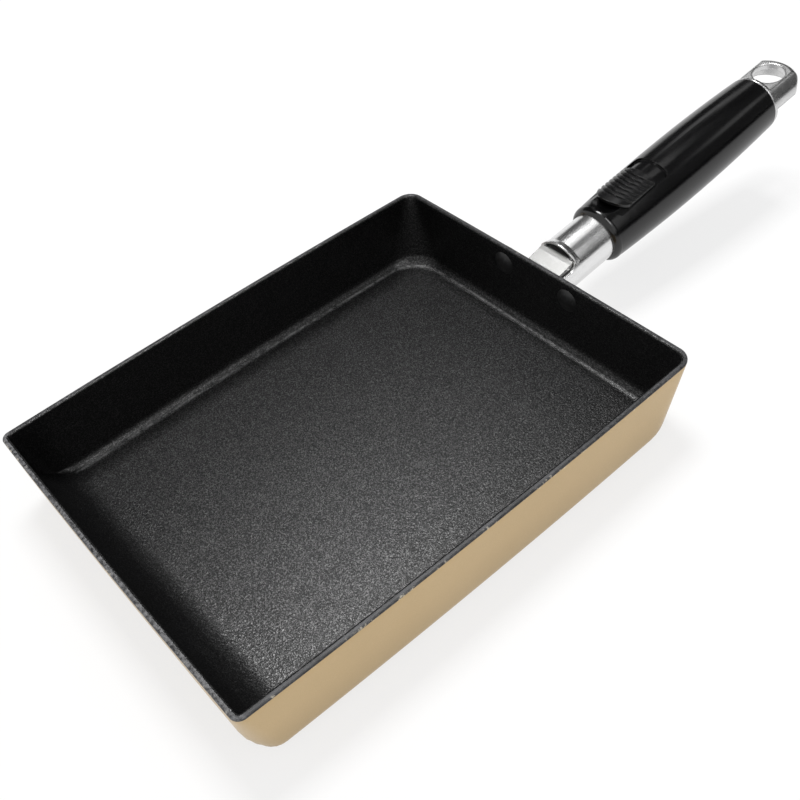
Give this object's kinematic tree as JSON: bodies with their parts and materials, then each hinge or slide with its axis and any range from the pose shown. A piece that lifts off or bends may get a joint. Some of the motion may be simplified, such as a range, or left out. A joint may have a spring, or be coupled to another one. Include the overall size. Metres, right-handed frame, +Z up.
{
  "type": "rectangular omelette pan",
  "caption": "Rectangular rolled-omelette pan with a coated aluminium body and a gripped tube handle that clamps onto a riveted bracket and comes off with a thumb slide.",
  "frame": {"origin": "centre of the pan's flat underside", "axes": "+X runs from the pan to the handle, +Z up out of the pan"},
  "size_m": [0.349, 0.1526, 0.0526],
  "materials": {
    "coated_aluminium": "non-stick coat inside, satin gold enamel outside",
    "bracket_steel": "satin",
    "coated_rivet": "non-stick coat on the inner heads",
    "tube_steel": "polished",
    "grip_plastic": "gloss",
    "cap_metal": "polished with a satin top",
    "slide_plastic": "semi-matt",
    "inner_steel": "plain",
    "spring_steel": "plain",
    "plug_plastic": "plain"
  },
  "bodies": {
    "pan": {"pan_body": "coated_aluminium", "bracket": "bracket_steel", "bracket_rivets": "coated_rivet"},
    "handle": {"handle_tube": "tube_steel", "grip": "grip_plastic", "end_cap": "cap_metal", "tie_screw": "inner_steel", "tie_washer": "inner_steel", "tube_plug": "plug_plastic", "plug_pin": "inner_steel", "spring_seat": "plug_plastic", "seat_pin": "inner_steel", "jaw_pin": "inner_steel", "return_spring": "spring_steel"},
    "lock": {"thumb_slide": "slide_plastic", "slide_pin": "inner_steel", "lock_bar": "inner_steel"},
    "jaw": {"clamp_jaw": "inner_steel", "cam_pin": "inner_steel"}
  },
  "joints": [
    {"name": "handle_off", "type": "slide", "parent": "pan", "child": "handle", "axis": [0.9918, 0, 0.1281], "range_m": [0, 0.06]},
    {"name": "lock_slide", "type": "slide", "parent": "handle", "child": "lock", "axis": [0.9918, 0, 0.1281], "range_m": [0, 0.007], "stiffness_N_per_m": 400, "springref_m": -0.01, "deforming": ["return_spring"]},
    {"name": "jaw_turn", "type": "hinge", "parent": "handle", "child": "jaw", "pos_m": [0.13404, 0, 0.02351], "axis": [0, -1, 0], "range_deg": [0, 6]}
  ],
  "couplings": [
    {"joint": "jaw_turn", "follows": "lock_slide", "rad_per_m": 14.959}
  ]
}
